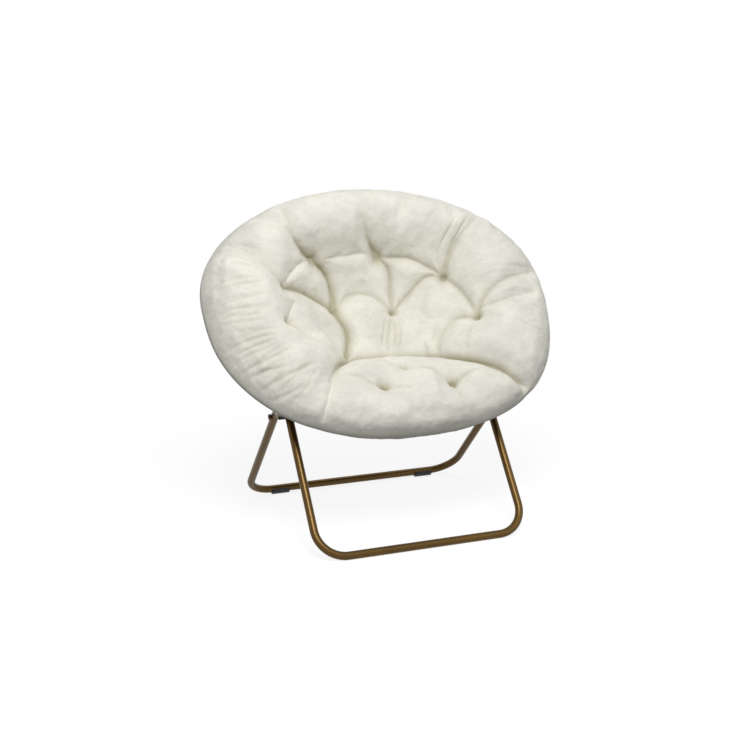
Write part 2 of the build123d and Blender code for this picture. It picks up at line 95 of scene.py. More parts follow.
# The cushion's drawn-in places, in mm in the ring's plane: x across and v up the slope.
TUFTS = {  # x, v, depth
    "upper_left": (-150, 130, 36), "upper_middle": (40, 140, 38), "upper_right": (205, 60, 36),
    "right": (250, -85, 36), "left_high": (-255, 40, 34), "left_low": (-270, -70, 34),
    "inner_left": (-105, 15, 40), "inner_right": (60, -5, 38),
    "seat_left": (-60, -270, 38), "seat_right": (125, -280, 38), "seat_middle": (15, -210, 26),
}
FOLDS = [  # from a tuft or point, by way of, to a tuft or point, depth at both ends
    ("upper_left", [(-180, 140), (-220, 180)], (-230, 240), 32, 10),
    ("upper_middle", [(10, 175)], (-10, 225), 32, 10),
    ("upper_right", [(195, 100)], (195, 130), 20, 7),
    ("upper_right", [(220, 105), (270, 160)], (325, 200), 26, 8),
    ("right", [(275, -40), (310, -15), (370, 5)], (435, 20), 26, 6),
    ((265, -65), [(320, -65)], (420, -45), 18, 5),
    ("left_high", [(-310, 85), (-355, 125)], (-385, 140), 20, 4),
    ("left_high", [(-240, 75), (-195, 120)], "upper_left", 13, 13),
    ("left_high", [(-195, 50), (-135, 35)], "inner_left", 24, 26),
    ("left_low", [(-260, -35)], (-240, 0), 22, 4),
    ("left_low", [(-240, -95)], (-210, -110), 22, 6),
    ("upper_left", [(-75, 145), (0, 155)], "upper_middle", 10, 11),
    ("upper_middle", [(130, 130), (185, 85)], "upper_right", 18, 20),
    ("upper_right", [(235, 15), (250, -50)], "right", 19, 20),
    ("upper_left", [(-105, 105), (-95, 60)], "inner_left", 30, 30),
    ("inner_left", [(-50, 60), (15, 55)], "inner_right", 16, 20),
    ("inner_left", [(-50, 25)], (-10, 25), 12, 3),
    ("upper_middle", [(75, 110), (70, 60)], "inner_right", 22, 22),
    ("upper_right", [(165, 80), (125, 50)], "inner_right", 20, 20),
    ("inner_left", [(-80, -55), (-90, -95)], (-115, -145), 30, 30),
    ("right", [(200, -65), (155, -110)], (125, -160), 20, 14),
    ("inner_right", [(25, -95)], (10, -135), 17, 14),
]
TUFT_REACH, TUFT_BOTTOM = 56.0, 3.0
FOLD_REACH, FOLD_REACH_BY_DEPTH, FOLD_BOTTOM = 24.0, 1.4, 1.8
# The crease between the seat's pad and the bowl, from its left end to its right end.
SEAT_CREASE = [(-245, -350), (-210, -275), (-175, -205), (-120, -155), (-15, -140), (90, -160), (175, -205),
               (260, -255), (330, -320)]
CREASE_SHARES = (0.0, 0.12, 0.28, 0.78, 1.0)
CREASE_DEPTHS = (9.0, 13.0, 35.0, 35.0, 27.0)
CREASE_REACHES = (22.0, 26.0, 50.0, 48.0, 38.0)
NOTCHES = ((SEAT_CREASE[0], 4.0), (SEAT_CREASE[-1], 13.0))
NOTCH_REACH = 11.0
WRINKLES = [  # points, greatest depth
    # up from the upper right tuft
    ([(195, 110), (210, 145), (255, 205)], 4.5), ([(220, 110), (245, 145), (295, 205)], 4.5),
    # out from the high left tuft
    ([(-330, 80), (-385, 110), (-415, 115)], 5.0), ([(-335, 65), (-395, 85)], 3.0),
    # down the bowl to the seat's crease
    ([(165, -70), (130, -135)], 4.0), ([(150, -125), (120, -180)], 4.0), ([(235, -110), (185, -200)], 5.0),
    ([(120, -120), (95, -165)], 5.0), ([(55, -30), (45, -75), (25, -135)], 5.5),
    ([(65, -40), (60, -85), (35, -140)], 6.0), ([(30, -35), (15, -75), (-5, -125)], 3.5),
    # between the seat's tufts and over its front
    ([(15, -210), (-50, -200), (-85, -195)], 6.0), ([(15, -210), (70, -240), (125, -280)], 7.0),
    ([(125, -280), (180, -265), (210, -255)], 6.0),
    ([(-60, -270), (-100, -270), (-140, -240), (-185, -240)], 7.0),
    ([(-60, -270), (-25, -285), (0, -305)], 5.0), ([(125, -280), (125, -350), (140, -375)], 4.0),
    # across the left roll
    ([(-450, -145), (-390, -130), (-315, -125)], 6.5), ([(-415, -115), (-310, -105)], 4.0),
    ([(-425, -160), (-330, -140)], 5.5), ([(-425, -205), (-375, -195), (-300, -170)], 5.0),
    ([(-405, -220), (-310, -210)], 5.5), ([(-380, -255), (-305, -230), (-245, -210)], 6.0),
    ([(-355, -285), (-305, -275), (-285, -260)], 4.0), ([(-445, -40), (-345, -45)], 2.5),
    ([(-445, -60), (-345, -65)], 3.0), ([(-445, -80), (-335, -80)], 3.5),
    ([(-430, 50), (-385, 40), (-330, 35)], 2.5),
]
WRINKLE_HALF_WIDTH = 5.0
# Gathers at the rim: from an angle, to an angle, how many, depth; and the oval that they run in from.
GATHERS = ((172, 232, 22, 2.8), (330, 368, 9, 1.8), (20, 160, 22, 1.4), (238, 305, 12, 1.0))
GATHER_HALF_WIDTH, GATHER_BACK, GATHER_FRONT = 482.5, 333.5, 412.5
# Uneven filling: lumps a metre, and their height in mm.
LUMPS = ((15.0, 2.4), (38.0, 1.9), (90.0, 0.8))

# Lamps: name, place, side, watts.
SOFTBOXES = [("key_softbox", (-0.7, -2.1, 3.0), 1.4, 86.0), ("fill_softbox", (2.2, -2.4, 1.9), 2.0, 13.0),
             ("top_softbox", (0.5, 0.9, 3.0), 1.8, 14.0)]


class CushionSizes(bpy.types.PropertyGroup):
    half_width: FloatProperty(name="Half width", description="Middle of the chair to the cushion's side",
                              default=482.5 * MM, unit="LENGTH")
    reach_back: FloatProperty(name="Reach back", description="Widest line to the cushion's rear edge",
                              default=333.5 * MM, unit="LENGTH")
    reach_front: FloatProperty(name="Reach front", description="Widest line to the cushion's front edge",
                               default=406 * MM, unit="LENGTH")
    lean: FloatProperty(name="Lean", description="How far the soft front of the seat sits to the right",
                        default=13 * MM, unit="LENGTH")
    tuft_scale: FloatProperty(name="Tuft pull", description="How far the tufts and folds are drawn in",
                              default=1.0, min=0.0, max=2.0)
    loft: FloatProperty(name="Loft", description="How far the filling stands over its plain form",
                        default=9 * MM, unit="LENGTH")
    wrinkle_scale: FloatProperty(name="Wrinkles", description="Depth of the small wrinkles", default=1.0,
                                 min=0.0, max=3.0)
    swell_cap: FloatProperty(name="Swell", description="Most that the filling pushes the cover out",
                             default=9 * MM, unit="LENGTH")
    around: IntProperty(name="Columns", description="Mesh columns round the cushion", default=800, min=64)
    top_rows: IntProperty(name="Top rows", description="Mesh rows from the middle to the rim", default=190,
                          min=20)
    under_rows: IntProperty(name="Rows underneath", description="Mesh rows from the rim to the lower middle",
                            default=44, min=10)
    plush: FloatVectorProperty(name="Plush", description="Colour of the pile", subtype="COLOR", size=3,
                               default=(0.80, 0.785, 0.70), min=0.0, max=1.0)
    # Painted shade: a darker, warmer plush colour mixed in deep in folds and along wrinkles, where shade
    # falls.
    painted_fold_shade: FloatVectorProperty(name="Painted shade in plush folds", description="Colour painted as shade deep in a fold",
                                subtype="COLOR", size=3, default=(0.50, 0.475, 0.345), min=0.0, max=1.0)
    lining: FloatVectorProperty(name="Lining", description="Colour of the cloth underneath", subtype="COLOR",
                                size=3, default=(0.70, 0.68, 0.60), min=0.0, max=1.0)


class FrameFinishes(bpy.types.PropertyGroup):
    bronze: FloatVectorProperty(name="Bronze paint", description="Colour of the tube's paint",
                                subtype="COLOR", size=3, default=(0.098, 0.053, 0.0095), min=0.0, max=1.0)
    steel: FloatVectorProperty(name="Steel", description="Colour of bolts and pins", subtype="COLOR", size=3,
                               default=(0.55, 0.55, 0.56), min=0.0, max=1.0)
    plastic: FloatVectorProperty(name="Plastic", description="Colour of pads, spacers and plugs",
                                 subtype="COLOR", size=3, default=(0.012, 0.012, 0.013), min=0.0, max=1.0)


class StageSettings(bpy.types.PropertyGroup):
    azimuth: FloatProperty(name="Azimuth", description="Camera's turn round the chair",
                           default=math.radians(-21.0), subtype="ANGLE")
    elevation: FloatProperty(name="Elevation", description="Camera's height as an angle",
                             default=math.radians(13.3), subtype="ANGLE")
    distance: FloatProperty(name="Distance", description="Camera to its target", default=3.094, unit="LENGTH")
    lens: FloatProperty(name="Lens", description="Focal length in mm on a 36 mm wide frame", default=56.54)
    room_light: FloatProperty(name="Room light", description="Even light from all round", default=0.17,
                              min=0.0)
    floor_side: FloatProperty(name="Floor", description="Side of the floor", default=60.0, unit="LENGTH")
    shadow_near: FloatProperty(name="Shadow near", description="Where the floor's shadow starts to fade",
                               default=0.5, unit="LENGTH")
    shadow_far: FloatProperty(name="Shadow far", description="Where the floor is plain white", default=1.5,
                              unit="LENGTH")
    target: FloatVectorProperty(name="Target", description="Point in the middle of the view", subtype="XYZ",
                                size=3, default=(-0.0447, -0.0304, 0.4002))


# ---- materials ----
def node_group(name, inputs, outputs):
    """A node group with those inputs (name, type, default) and outputs (name, type)."""
    group = bpy.data.node_groups.new(name, "ShaderNodeTree")
    for label, kind, default in inputs:
        socket = group.interface.new_socket(name=label, in_out="INPUT", socket_type=kind)
        if default is not None:
            socket.default_value = default
    for label, kind in outputs:
        group.interface.new_socket(name=label, in_out="OUTPUT", socket_type=kind)
    return group, group.nodes.new("NodeGroupInput"), group.nodes.new("NodeGroupOutput")


def add(tree, kind, inputs=(), **settings):
    """A node with its settings, and its inputs given as values or as sockets to link."""
    node = tree.nodes.new(kind)
    for key, value in settings.items():
        setattr(node, key, value)
    for key, value in dict(inputs).items():
        if isinstance(value, bpy.types.NodeSocket):
            tree.links.new(value, node.inputs[key])
        else:
            node.inputs[key].default_value = value
    return node


def pile_group():
    """Short pile: a mottle that shades it, and a height of lying tips and brushed patches."""
    group, inp, out = node_group("Short pile", [
        ("Vector", "NodeSocketVector", None), ("Tips", "NodeSocketFloat", 900.0),
        ("Patches", "NodeSocketFloat", 10.0)], [("Mottle", "NodeSocketFloat"), ("Height", "NodeSocketFloat")])
    tips = add(group, "ShaderNodeTexNoise", {"Vector": inp.outputs["Vector"], "Scale": inp.outputs["Tips"],
                                             "Detail": 3.0, "Roughness": 0.6})
    clumps = add(group, "ShaderNodeTexNoise", {"Vector": inp.outputs["Vector"], "Scale": 240.0, "Detail": 3.0,
                                               "Roughness": 0.65, "Distortion": 0.4})
    patches = add(group, "ShaderNodeTexNoise", {
        "Vector": inp.outputs["Vector"], "Scale": inp.outputs["Patches"], "Detail": 6.0, "Roughness": 0.6,
        "Distortion": 0.6})
    fine = add(group, "ShaderNodeMath", {0: clumps.outputs["Fac"], 1: 0.4}, operation="MULTIPLY")
    mottle = add(group, "ShaderNodeMath", {0: patches.outputs["Fac"], 1: 0.6, 2: fine.outputs[0]},
                 operation="MULTIPLY_ADD")
    height = add(group, "ShaderNodeMath", {0: tips.outputs["Fac"], 1: 0.5, 2: clumps.outputs["Fac"]},
                 operation="MULTIPLY_ADD")
    group.links.new(mottle.outputs[0], out.inputs["Mottle"])
    group.links.new(height.outputs[0], out.inputs["Height"])
    return group


def weave_group():
    """Plain weave: two crossed sets of threads."""
    group, inp, out = node_group("Plain weave", [
        ("Vector", "NodeSocketVector", None), ("Threads", "NodeSocketFloat", 420.0)],
        [("Slubs", "NodeSocketFloat"), ("Height", "NodeSocketFloat")])
    waves = [add(group, "ShaderNodeTexWave", {
        "Vector": inp.outputs["Vector"], "Scale": inp.outputs["Threads"], "Distortion": 0.8, "Detail": 1.0},
        bands_direction=direction) for direction in ("X", "Z")]
    height = add(group, "ShaderNodeMath", {0: waves[0].outputs["Fac"], 1: waves[1].outputs["Fac"]},
                 operation="MULTIPLY")
    slubs = add(group, "ShaderNodeTexNoise", {"Vector": inp.outputs["Vector"], "Scale": 60.0, "Detail": 3.0})
    group.links.new(slubs.outputs["Fac"], out.inputs["Slubs"])
    group.links.new(height.outputs[0], out.inputs["Height"])
    return group


def wear_group():
    """Handling marks: broad smudges for the colour and fine grain for roughness and height."""
    group, inp, out = node_group("Handling marks", [
        ("Vector", "NodeSocketVector", None), ("Grain", "NodeSocketFloat", 1400.0),
        ("Smudges", "NodeSocketFloat", 9.0)], [("Smudge", "NodeSocketFloat"), ("Grain", "NodeSocketFloat")])
    smudge = add(group, "ShaderNodeTexNoise", {
        "Vector": inp.outputs["Vector"], "Scale": inp.outputs["Smudges"], "Detail": 5.0, "Roughness": 0.62})
    grain = add(group, "ShaderNodeTexNoise", {"Vector": inp.outputs["Vector"], "Scale": inp.outputs["Grain"],
                                              "Detail": 2.0})
    group.links.new(smudge.outputs["Fac"], out.inputs["Smudge"])
    group.links.new(grain.outputs["Fac"], out.inputs["Grain"])
    return group


def shaded(colour, factor):
    """The colour times a factor, with its alpha."""
    return tuple(min(1.0, c * factor) for c in colour) + (1.0,)


def surface_material(name, group, colour, shades, mask, height, bump, settings, rough=None, painted_fold_shade=None,
                     span=(0.34, 0.68)):
    """Principled surface whose colour runs between two shades by the group's mask, with its bump.

    Shades are factors of the colour, span the mask's values for them, bump its strength and height in metres,
    rough the roughness by the mask, and painted_fold_shade the painted shade colour mixed in deep in a fold.
    """
    material = bpy.data.materials.new(name)
    material.use_nodes = True
    tree = material.node_tree
    shader = tree.nodes["Principled BSDF"]
    coords = tree.nodes.new("ShaderNodeTexCoord")
    pattern = add(tree, "ShaderNodeGroup", node_tree=group)
    tree.links.new(coords.outputs["Object"], pattern.inputs["Vector"])
    ramp = add(tree, "ShaderNodeValToRGB", {"Fac": pattern.outputs[mask]})
    for stop, position, shade in zip(ramp.color_ramp.elements, span, shades):
        stop.position = position
        stop.color = shaded(colour, shade)
    tone = ramp.outputs["Color"]
    # Painted shade: the colour runs towards the darker fold colour by the fold attribute, deep in folds and
    # along wrinkles.
    if painted_fold_shade:
        depth = add(tree, "ShaderNodeAttribute", attribute_name="fold")
        mixed = add(tree, "ShaderNodeMixRGB", {"Fac": depth.outputs["Fac"], "Color1": tone,
                                               "Color2": (*painted_fold_shade, 1.0)})
        tone = mixed.outputs["Color"]
    tree.links.new(tone, shader.inputs["Base Color"])
    bumped = add(tree, "ShaderNodeBump", {"Height": pattern.outputs[height], "Strength": bump[0],
                                          "Distance": bump[1]})
    tree.links.new(bumped.outputs["Normal"], shader.inputs["Normal"])
    if rough:
        spread = add(tree, "ShaderNodeMapRange", {"Value": pattern.outputs[mask], "To Min": rough[0],
                                                  "To Max": rough[1]})
        tree.links.new(spread.outputs["Result"], shader.inputs["Roughness"])
    for key, value in settings.items():
        shader.inputs[key].default_value = value
    return material


def materials(scene):
    """Every finish of the chair, made once and kept by name."""
    made = {m.name: m for m in bpy.data.materials}
    if "Ivory plush" in made:
        return made
    sizes, finish = scene.saucer_cushion, scene.saucer_frame
    pile, weave, wear = pile_group(), weave_group(), wear_group()
    # The plush gets painted shade in its folds, from the fold attribute.
    surface_material("Ivory plush", pile, sizes.plush, (0.905, 1.06), "Mottle", "Height", (0.6, 0.0015), {
        "Roughness": 0.95, "Sheen Weight": 0.25, "Sheen Roughness": 0.45, "Specular IOR Level": 0.1},
        painted_fold_shade=tuple(sizes.painted_fold_shade), span=(0.40, 0.60))
    surface_material("Lining cloth", weave, sizes.lining, (0.92, 1.05), "Slubs", "Height", (0.5, 0.0004), {
        "Roughness": 0.9, "Sheen Weight": 0.1, "Specular IOR Level": 0.2})
    surface_material("Bronze paint", wear, finish.bronze, (0.86, 1.12), "Smudge", "Grain", (0.10, 0.00015), {
        "Metallic": 0.75, "Coat Weight": 0.06, "Coat Roughness": 0.2}, rough=(0.30, 0.40))
    surface_material("Zinc steel", wear, finish.steel, (0.85, 1.1), "Smudge", "Grain", (0.15, 0.0001), {
        "Metallic": 1.0}, rough=(0.25, 0.42))
    surface_material("Black plastic", wear, finish.plastic, (0.85, 1.3), "Smudge", "Grain", (0.3, 0.0002), {
        "Specular IOR Level": 0.45}, rough=(0.42, 0.56))
    return {m.name: m for m in bpy.data.materials}


def seen_white(tree):
    """Socket that is 1 for rays from the camera and in reflections, and 0 for the light on the chair."""
    path = tree.nodes.new("ShaderNodeLightPath")
    seen = add(tree, "ShaderNodeMath", {0: path.outputs["Is Camera Ray"], 1: path.outputs["Is Glossy Ray"]},
               operation="MAXIMUM")
    seen = add(tree, "ShaderNodeMath", {0: seen.outputs[0], 1: path.outputs["Is Transmission Ray"]},
               operation="MAXIMUM")
    return seen.outputs[0]


def floor_paper(look):
    """White paper sweep: it keeps the chair's soft shadow and turns plain white away from it."""
    paper = bpy.data.materials.new("Pale floor")
    paper.use_nodes = True
    tree = paper.node_tree
    tree.nodes.clear()
    coords = tree.nodes.new("ShaderNodeTexCoord")
    reach = add(tree, "ShaderNodeVectorMath", {0: coords.outputs["Object"]}, operation="LENGTH")
    far = add(tree, "ShaderNodeMapRange", {"Value": reach.outputs["Value"], "From Min": look.shadow_near,
                                           "From Max": look.shadow_far}, interpolation_type="SMOOTHSTEP")
    glow_level = add(tree, "ShaderNodeMapRange", {"Value": far.outputs["Result"], "To Min": 0.87,
                                                  "To Max": 1.0})
    tone = add(tree, "ShaderNodeMixRGB", {"Fac": far.outputs["Result"], "Color1": (0.2, 0.2, 0.2, 1),
                                          "Color2": (0.0, 0.0, 0.0, 1)})
    glow = add(tree, "ShaderNodeEmission", {"Strength": glow_level.outputs["Result"]})
    shade = add(tree, "ShaderNodeBsdfDiffuse", {"Color": tone.outputs["Color"]})
    seen = add(tree, "ShaderNodeAddShader", {0: glow.outputs[0], 1: shade.outputs[0]})
    lit = add(tree, "ShaderNodeBsdfDiffuse", {"Color": (0.3, 0.3, 0.3, 1)})
    both = add(tree, "ShaderNodeMixShader", {"Fac": seen_white(tree), 1: lit.outputs[0], 2: seen.outputs[0]})
    out = tree.nodes.new("ShaderNodeOutputMaterial")
    tree.links.new(both.outputs[0], out.inputs["Surface"])
    return paper


# ---- the cushion's form, in mm in the ring's plane ----
def smooth(a, b, value):
    """0 at a, 1 at b, and a soft step between them."""
    t = np.clip((value - a) / (b - a), 0.0, 1.0)
    return t * t * (3.0 - 2.0 * t)


def outline_factor(angle):
    """Rim distance at an angle as a share of the two reaches: a rounded oval, squarer at the front."""
    power = np.where(np.sin(angle) >= 0, BACK_OVAL, FRONT_OVAL)
    return (np.abs(np.cos(angle)) ** power + np.abs(np.sin(angle)) ** power) ** (-1.0 / power)


def seat_share(x, v):
    """1 on the low front roll of the seat, 0 on the rolls at the sides and the back."""
    front, middle = 1.0 - smooth(SEAT_FULL, SEAT_ENDS, v), 1.0 - smooth(SEAT_SIDE, SEAT_OUT, np.abs(x))
    return front * middle


def roll(rho, power, share):
    """Share of the padding's thickness left towards the rim: a long slope, or a round roll by its share."""
    slope = np.sqrt(np.clip(1.0 - rho ** power, 0.0, 1.0))
    outer = np.clip((rho - ROUND_ROLL) / (RIM - ROUND_ROLL), 0.0, 1.0)
    round_end = np.sqrt(np.clip(1.0 - outer ** 2, 0.0, 1.0))
    return slope + (round_end - slope) * share


def top_form(x, v, rho):
    """Height of the bowl before it is tufted."""
    seat = seat_share(x, v)
    crest = SIDE_CREST + (SEAT_CREST - SIDE_CREST) * seat
    head = WALL_HEAD + SEAT_HEAD_OUT * seat + BACK_HEAD_OUT * smooth(BACK_STARTS, BACK_FULL, v)
    level = BOWL_LEVEL + (crest - BOWL_LEVEL) * smooth(WALL_FOOT, head, rho)
    return EDGE_LEVEL + (level - EDGE_LEVEL) * roll(rho, TOP_SLOPE, seat)


def ring_centreline():
    """Points (x, v) of the seat ring's middle line: two side arcs and two end arcs a half."""
    half, quarters = RING_HALF_WIDTH, []
    for sign, reach, side_r in RING_HALVES:
        end_r = ((half - side_r) ** 2 + reach ** 2 - side_r ** 2) / (2 * (reach - side_r))
        meet = math.atan2(end_r - reach, half - side_r)
        side = [(half - side_r + side_r * math.cos(a), sign * side_r * math.sin(a))
                for a in np.linspace(0.0, meet, 24)]
        end = [(end_r * math.cos(a), sign * (reach - end_r + end_r * math.sin(a)))
               for a in np.linspace(meet, math.pi / 2, 40)]
        quarters.append(side + end)
    back, front = quarters
    right = front[::-1] + back[1:]
    left = [(-x, v) for x, v in reversed(right)][1:-1]
    return right + left + right[:1]


def line_distance(x, v, points):
    """Distance to a line of points, and the share of its length at the nearest place."""
    pts = np.array(points, float)
    steps = np.hypot(*(pts[1:] - pts[:-1]).T)
    runs = np.concatenate([[0.0], np.cumsum(steps)]) / max(steps.sum(), 1e-9)
    best, share = np.full(x.shape, 1e9), np.zeros(x.shape)
    for (ax, av), (bx, bv), r0, r1 in zip(pts[:-1], pts[1:], runs[:-1], runs[1:]):
        dx, dv = bx - ax, bv - av
        t = np.clip(((x - ax) * dx + (v - av) * dv) / max(dx * dx + dv * dv, 1e-9), 0.0, 1.0)
        d = np.hypot(x - ax - t * dx, v - av - t * dv)
        near = d < best
        best = np.where(near, d, best)
        share = np.where(near, r0 + (r1 - r0) * t, share)
    return best, share


def rounded_line(points, passes=3):
    """The same line with its corners cut, so that a fold curves as cloth does."""
    pts = [np.array(p, float) for p in points]
    for _ in range(passes):
        cut = [pts[0]]
        for p, q in zip(pts[:-1], pts[1:]):
            cut += [p * 0.75 + q * 0.25, p * 0.25 + q * 0.75]
        pts = cut + [pts[-1]]
    return pts


def place(spot):
    """A point as it is, or the point of the tuft with that name."""
    return TUFTS[spot][:2] if spot in TUFTS else spot


def small_wrinkles(seed=7):
    """Short gathers that run in from the rim, thickest at the left front where the cover bunches."""
    rng = np.random.default_rng(seed)
    lines = []
    for low, high, count, depth in GATHERS:
        for k in range(count):
            a = math.radians(low + (high - low) * (k + rng.uniform(0.15, 0.85)) / count)
            inner, outer = rng.uniform(0.66, 0.80), rng.uniform(0.90, 0.985)
            lean, line = rng.uniform(-0.06, 0.06), []
            for s in (0.0, 0.35, 0.7, 1.0):
                rho = inner + (outer - inner) * s
                b = a + lean * (1 - s) + rng.uniform(-0.01, 0.01)
                f = float(outline_factor(np.array(b)))
                reach = GATHER_BACK if math.sin(b) >= 0 else GATHER_FRONT
                line.append((GATHER_HALF_WIDTH * rho * f * math.cos(b), reach * rho * f * math.sin(b)))
            lines.append((line, depth * rng.uniform(0.6, 1.2)))
    return lines


def puff(d, reach, bottom=FOLD_BOTTOM):
    """Share of a fold's depth at a distance from its line: a round shoulder over a narrow bottom."""
    near = 1.0 - np.clip(np.hypot(d, bottom) / reach, 0.0, 1.0)
    return (1.0 - np.sqrt(1.0 - near ** 2)) ** 1.12 * 1.5


def pulled_in(x, v):
    """How deep tufts, folds and the seat's crease draw the top in, mm. A high power keeps the deepest."""
    power, total = 5.0, np.zeros(x.shape)
    for tx, tv, depth in TUFTS.values():
        total += (depth * puff(np.hypot(x - tx, v - tv), TUFT_REACH, TUFT_BOTTOM)) ** power
    for start, by_way_of, end, first, last in FOLDS:
        d, s = line_distance(x, v, rounded_line([place(start), *by_way_of, place(end)]))
        depth = first + (last - first) * s
        total += (depth * puff(d, FOLD_REACH + FOLD_REACH_BY_DEPTH * depth)) ** power
    d, s = line_distance(x, v, rounded_line(SEAT_CREASE))
    depth, reach = [np.interp(s, CREASE_SHARES, values) for values in (CREASE_DEPTHS, CREASE_REACHES)]
    total += (depth * puff(d, reach)) ** power
    return total ** (1.0 / power)


def notched(x, v, rho):
    """How deep the seat's crease draws in the rim at its two ends, most at the right, mm."""
    depth = np.zeros(x.shape)
    outwards = 1.07
    for (tx, tv), most in NOTCHES:
        near = np.hypot(x - outwards * tx, v - outwards * tv)
        depth = np.maximum(depth, most * np.exp(-near / NOTCH_REACH))
    return depth * smooth(0.80, 0.95, rho)


def wrinkled(x, v):
    """How deep the small wrinkles are, mm: each runs out at both of its ends."""
    depth = np.zeros(x.shape)
    for points, most in WRINKLES + small_wrinkles():
        d, s = line_distance(x, v, rounded_line(points, 2))
        along = np.sin(math.pi * np.clip(s * 0.86 + 0.07, 0, 1))
        depth += most * along * np.exp(-(d / WRINKLE_HALF_WIDTH) ** 2)
    return depth


def blurred(field, times):
    """A grid field averaged with its neighbours, so that only its broad shape stays."""
    for _ in range(times):
        field = (2 * field + np.roll(field, 1, axis=1) + np.roll(field, -1, axis=1)) / 4
        edged = np.concatenate([field[:1], field, field[-1:]])
        field = (2 * field + edged[:-2] + edged[2:]) / 4
    return field


def under_form(x, v, rho, ring):
    """Height of the underside: the bowl's belly and the sewn tunnel round the ring."""
    middle, end = smooth(FRONT_OUT, FRONT_SIDE, np.abs(x)), smooth(FRONT_FOOT, FRONT_HEAD, rho)
    front = seat_share(x, v) * middle * end
    level = LINING_LEVEL - BELLY_DROP * smooth(BELLY_FOOT, BELLY_HEAD, rho) - FRONT_DROP * front
    level = EDGE_LEVEL + (level - EDGE_LEVEL) * roll(rho, UNDER_SLOPE, front)
    d, _ = line_distance(x, v, ring)
    tunnel = RING_LEVEL - np.sqrt(np.clip(TUNNEL_RADIUS ** 2 - d ** 2, 0.0, None))
    return np.where(d < TUNNEL_RADIUS, np.minimum(level, tunnel), level)


def leaning(v, sizes):
    """How far the front sits to the right, mm."""
    return sizes.lean / MM * smooth(LEAN_STARTS, LEAN_FULL, v)


class CushionGrid:
    """Rows from the middle of the top, over the rim, to the middle of the underside."""

    def __init__(self, sizes, around, top_rows, under_rows):
        self.around, self.top_rows = around, top_rows
        s = np.linspace(0, 1, top_rows + 1)[1:]
        top = 0.5 * s + 0.5 * np.sin(s * math.pi / 2)
        u = np.linspace(1, 0, under_rows + 1)[1:-1]
        under = 0.5 * u + 0.5 * np.sin(u * math.pi / 2)
        self.rho = np.concatenate([top, under])
        self.rows = len(self.rho)
        angle = np.linspace(0, 2 * math.pi, around, endpoint=False)
        factor = outline_factor(angle)
        reach = np.where(np.sin(angle) >= 0, sizes.reach_back, sizes.reach_front) / MM
        self.x = self.rho[:, None] * (sizes.half_width / MM * factor * np.cos(angle))[None, :]
        self.v = self.rho[:, None] * (reach * factor * np.sin(angle))[None, :]
        self.r = np.repeat(self.rho[:, None], around, axis=1)
        self.is_top = np.arange(self.rows) < top_rows
        top_w = top_form(self.x, self.v, self.r)
        under_w = under_form(self.x, self.v, self.r, ring_centreline())
        self.thick = top_w - under_w
        self.x = self.x + leaning(self.v, sizes)
        self.w = np.where(self.is_top[:, None], top_w, under_w)
        self.points = (np.array(RING_MIDDLE) + self.x[..., None] * MM * np.array((1.0, 0.0, 0.0))
                       + self.v[..., None] * MM * ALONG + self.w[..., None] * MM * ABOVE)

    def normals(self, p):
        """Outward normals of the grid by differences."""
        along = np.roll(p, -1, axis=1) - np.roll(p, 1, axis=1)
        across = np.empty_like(p)
        across[1:-1] = p[2:] - p[:-2]
        across[0], across[-1] = p[1] - p[0], p[-1] - p[-2]
        n = np.cross(across, along)
        return n / np.maximum(np.linalg.norm(n, axis=-1, keepdims=True), 1e-12)

    def faces(self):
        """Quads between the rows, and a fan of triangles at each of the two middles."""
        n, rows = self.around, self.rows
        first, last = 0, rows * n + 1
        faces = [(first, 1 + j, 1 + (j + 1) % n) for j in range(n)]
        for i in range(rows - 1):
            a, b = 1 + i * n, 1 + (i + 1) * n
            faces += [(a + j, b + j, b + (j + 1) % n, a + (j + 1) % n) for j in range(n)]
        a = 1 + (rows - 1) * n
        faces += [(a + j, last, a + (j + 1) % n) for j in range(n)]
        return faces

    def mesh(self, name, p):
        """Closed mesh over the grid's points."""
        top = p[0].mean(axis=0, keepdims=True)
        under = p[-1].mean(axis=0, keepdims=True)
        verts = np.concatenate([top, p.reshape(-1, 3), under])
        mesh = bpy.data.meshes.new(name)
        mesh.from_pydata(verts.tolist(), [], self.faces())
        mesh.update()
        return mesh


def drawn(grid, sizes):
    """The grid's points with tufts and folds drawn in along the normals, and the depth of each."""
    depth = np.where(grid.is_top[:, None], pulled_in(grid.x, grid.v) * sizes.tuft_scale, 0.0)
    fade = 1.0 - smooth(TUFTED_TO, RIM, grid.r)
    lift = np.where(grid.is_top[:, None], sizes.loft / MM * fade, 0.0)
    depth = np.minimum(depth, np.maximum(DRAWN_SHARE * grid.thick + lift - LEAST_FILLING, 0.0)) * fade
    depth = np.maximum(depth, notched(grid.x, grid.v, grid.r))
    way = blurred(grid.normals(grid.points), 6)
    way /= np.linalg.norm(way, axis=-1, keepdims=True)
    return grid.points + way * (lift - depth)[..., None] * MM, depth


def rim_share(x, v, sizes):
    """Share of the way from the middle to the rim at a place in the ring's plane."""
    across, along = x * MM / sizes.half_width, v * MM / np.where(v >= 0, sizes.reach_back, sizes.reach_front)
    return np.hypot(across, along) / outline_factor(np.arctan2(along, across))


def kept_off_ring(grid, points, sizes):
    """The same points, kept clear of the ring's tube, and the top kept over the lining below it."""
    local = points - np.array(RING_MIDDLE)
    x, v, w = points[..., 0] / MM, local @ ALONG / MM, local @ ABOVE / MM
    ring, top = ring_centreline(), grid.is_top[:, None]
    d, _ = line_distance(x, v, ring)
    room = np.sqrt(np.clip(RING_CLEARANCE ** 2 - d ** 2, 0.0, None))
    side = np.where(top, 1.0, -1.0)
    shift = side * np.where(d < RING_CLEARANCE, np.clip(room - side * (w - RING_LEVEL), 0.0, None), 0.0)
    lining = under_form(x - leaning(v, sizes), v, rim_share(x, v, sizes), ring)
    inside = top & (grid.r < OVER_LINING_TO)
    shift = np.where(inside, np.maximum(shift, lining + LEAST_FILLING - w), shift)
    return points + shift[..., None] * MM * ABOVE


